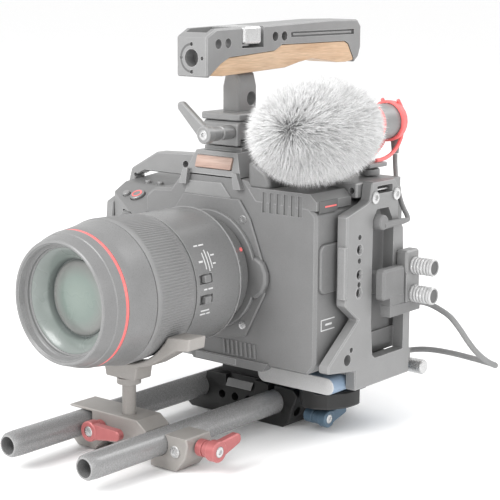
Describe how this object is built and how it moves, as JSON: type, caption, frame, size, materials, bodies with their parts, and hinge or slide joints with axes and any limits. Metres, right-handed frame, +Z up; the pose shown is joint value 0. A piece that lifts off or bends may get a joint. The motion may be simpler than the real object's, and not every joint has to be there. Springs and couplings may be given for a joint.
{
  "type": "cinema camera rig",
  "caption": "Digital cinema camera in a metal cage with macro lens, support rods, lens support, wooden-gripped top handle, furry microphone and side-mounted drive.",
  "frame": {"origin": "middle of the rod baseplate's underside, below the lens axis", "axes": "+Z up, the lens looks along -Y, and +X is the side with the ports and the drive"},
  "size_m": [0.2388, 0.276, 0.245],
  "materials": {
    "anodised_grey": "bead-blasted grey anodising with light machined chamfers",
    "camera_plastic": "fine-textured moulded composite",
    "black_alloy": "satin black anodising",
    "warm_grey_alloy": "warm grey anodising",
    "plain_steel": "turned and brushed steel",
    "red_alloy": "dusty red anodised clamping lever",
    "slate_alloy": "slate blue anodised clamping lever",
    "red_polymer": "springy red polymer",
    "oiled_wood": "oiled hardwood with fine grain",
    "fur": "pale grey artificial fur",
    "coated_glass": "coated optical glass with a green cast",
    "drive_shell": "blue anodised extrusion",
    "black_rubber": "soft ribbed and plain rubber",
    "screen_glass": "gloss black display"
  },
  "bodies": {
    "root": {"cage_bottom": "anodised_grey", "cage_left_side": "anodised_grey", "cage_right_side": "anodised_grey", "cage_top": "anodised_grey", "hood": "anodised_grey", "cable_clamp": "anodised_grey", "camera_shell": "camera_plastic", "camera_back": "camera_plastic", "mount_plate": "camera_plastic", "grip_shell": "camera_plastic", "lens_front_barrel": "camera_plastic", "lens_rear_barrel": "camera_plastic", "microphone": "camera_plastic", "baseplate": "black_alloy", "drive_shelf": "black_alloy", "mic_lyre": "red_polymer", "wood_inlay": "oiled_wood", "fur_windshield": "fur", "lens_front_glass": "coated_glass", "port_door": "black_rubber", "mic_mount_foot": "black_rubber", "mic_cable": "black_rubber", "mic_plug": "black_rubber", "mic_strain_relief": "black_rubber", "drive_cable": "black_rubber", "drive_plug": "black_rubber", "usb_plug": "black_rubber", "image_sensor": "screen_glass", "battery": "screen_glass"},
    "rods": {"rod_left": "anodised_grey", "rod_right": "anodised_grey"},
    "lens_support": {"support_base": "warm_grey_alloy", "support_jaw": "warm_grey_alloy"},
    "cradle": {"support_post": "warm_grey_alloy", "lens_cradle": "warm_grey_alloy"},
    "left_clamp_lever": {"support_lever_left": "red_alloy"},
    "right_clamp_lever": {"support_lever_right": "red_alloy"},
    "plate_lever": {"baseplate_lever": "slate_alloy"},
    "focus": {"focus_ring": "black_rubber"},
    "mode_switch": {"focus_mode_switch": "camera_plastic"},
    "limit_switch": {"focus_limit_switch": "camera_plastic"},
    "drive": {"portable_drive": "drive_shell"},
    "drive_screw": {"drive_thumbscrew": "plain_steel"},
    "upper_screw": {"clamp_thumbscrew_upper": "plain_steel"},
    "lower_screw": {"clamp_thumbscrew_lower": "plain_steel"},
    "shoe_nut": {"shoe_knob": "anodised_grey"},
    "dial": {"control_dial": "camera_plastic"},
    "record": {"record_button": "plain_steel"},
    "stills": {"stills_button": "camera_plastic"},
    "iso": {"iso_button": "camera_plastic"},
    "shutter": {"shutter_button": "camera_plastic"},
    "screen": {"rear_screen": "screen_glass"},
    "battery_lid": {"battery_door": "camera_plastic"},
    "handle": {"nato_clamp": "anodised_grey", "handle_post": "anodised_grey", "handle_frame": "anodised_grey", "handle_grip": "oiled_wood"},
    "nato_lever_arm": {"nato_lever": "anodised_grey"},
    "lock": {"handle_lock": "plain_steel"},
    "key": {"hex_key": "plain_steel"}
  },
  "joints": [
    {"name": "rods_slide", "type": "slide", "parent": "root", "child": "rods", "axis": [0, 1, 0], "range_m": [0, 0.02]},
    {"name": "support_slide", "type": "slide", "parent": "rods", "child": "lens_support", "axis": [0, 1, 0], "range_m": [0, 0.025]},
    {"name": "cradle_height", "type": "slide", "parent": "lens_support", "child": "cradle", "axis": [0, 0, 1], "range_m": [-0.005, 0]},
    {"name": "left_clamp_turn", "type": "hinge", "parent": "lens_support", "child": "left_clamp_lever", "pos_m": [-0.014, -0.145, 0.015], "axis": [0, -1, 0], "range_deg": [0, 100]},
    {"name": "right_clamp_turn", "type": "hinge", "parent": "lens_support", "child": "right_clamp_lever", "pos_m": [0.06, -0.128, 0.0146], "axis": [1, 0, 0], "range_deg": [0, 100]},
    {"name": "plate_lever_turn", "type": "hinge", "parent": "root", "child": "plate_lever", "pos_m": [0.06, -0.026, 0.0096], "axis": [1, 0, 0], "range_deg": [-25, 0]},
    {"name": "focus_turn", "type": "hinge", "parent": "root", "child": "focus", "pos_m": [0, -0.132, 0.0985], "axis": [0, 1, 0], "range_deg": [-75, 75]},
    {"name": "mode_switch_slide", "type": "slide", "parent": "root", "child": "mode_switch", "axis": [0, 1, 0], "range_m": [-0.002, 0.002]},
    {"name": "limit_switch_slide", "type": "slide", "parent": "root", "child": "limit_switch", "axis": [0, 1, 0], "range_m": [-0.002, 0.002]},
    {"name": "drive_slide", "type": "slide", "parent": "root", "child": "drive", "axis": [0, -1, 0], "range_m": [0, 0.03]},
    {"name": "drive_screw_turn", "type": "hinge", "parent": "root", "child": "drive_screw", "pos_m": [0.085, 0.0383, 0.0332], "axis": [1, 0, 0], "continuous": true},
    {"name": "upper_screw_turn", "type": "hinge", "parent": "root", "child": "upper_screw", "pos_m": [0.1, 0.0186, 0.1014], "axis": [1, 0, 0], "continuous": true},
    {"name": "lower_screw_turn", "type": "hinge", "parent": "root", "child": "lower_screw", "pos_m": [0.1, 0.0186, 0.0842], "axis": [1, 0, 0], "continuous": true},
    {"name": "shoe_nut_turn", "type": "hinge", "parent": "root", "child": "shoe_nut", "pos_m": [0.063, 0.0175, 0.1557], "axis": [0, 0, 1], "continuous": true},
    {"name": "dial_turn", "type": "hinge", "parent": "root", "child": "dial", "pos_m": [-0.074, -0.0477, 0.1195], "axis": [1, 0, 0], "continuous": true},
    {"name": "record_press", "type": "slide", "parent": "root", "child": "record", "axis": [0, 0.459, -0.8884], "range_m": [0, 0.0006], "stiffness_N_per_m": 400, "springref_m": -0.0005},
    {"name": "stills_press", "type": "slide", "parent": "root", "child": "stills", "axis": [0, 0.459, -0.8884], "range_m": [0, 0.0006], "stiffness_N_per_m": 400, "springref_m": -0.0005},
    {"name": "iso_press", "type": "slide", "parent": "root", "child": "iso", "axis": [0, 0.0917, -0.9958], "range_m": [0, 0.0006], "stiffness_N_per_m": 400, "springref_m": -0.0005},
    {"name": "shutter_press", "type": "slide", "parent": "root", "child": "shutter", "axis": [0, 0.0917, -0.9958], "range_m": [0, 0.0006], "stiffness_N_per_m": 400, "springref_m": -0.0005},
    {"name": "screen_tilt", "type": "hinge", "parent": "root", "child": "screen", "pos_m": [0, 0.0415, 0.13], "axis": [1, 0, 0], "range_deg": [0, 60]},
    {"name": "battery_lid_open", "type": "hinge", "parent": "root", "child": "battery_lid", "pos_m": [-0.076, 0.0116, 0.0506], "axis": [1, 0, 0], "range_deg": [0, 85]},
    {"name": "handle_slide", "type": "slide", "parent": "root", "child": "handle", "axis": [1, 0, 0], "range_m": [-0.01, 0.008]},
    {"name": "nato_lever_turn", "type": "hinge", "parent": "handle", "child": "nato_lever_arm", "pos_m": [0.0086, -0.0694, 0.181], "axis": [0, -1, 0], "range_deg": [-90, 0]},
    {"name": "lock_press", "type": "slide", "parent": "handle", "child": "lock", "axis": [0, 1, 0], "range_m": [0, 0.0026], "stiffness_N_per_m": 300, "springref_m": -0.0015},
    {"name": "key_pull", "type": "slide", "parent": "handle", "child": "key", "axis": [0, 0, 1], "range_m": [0, 0.02]}
  ]
}
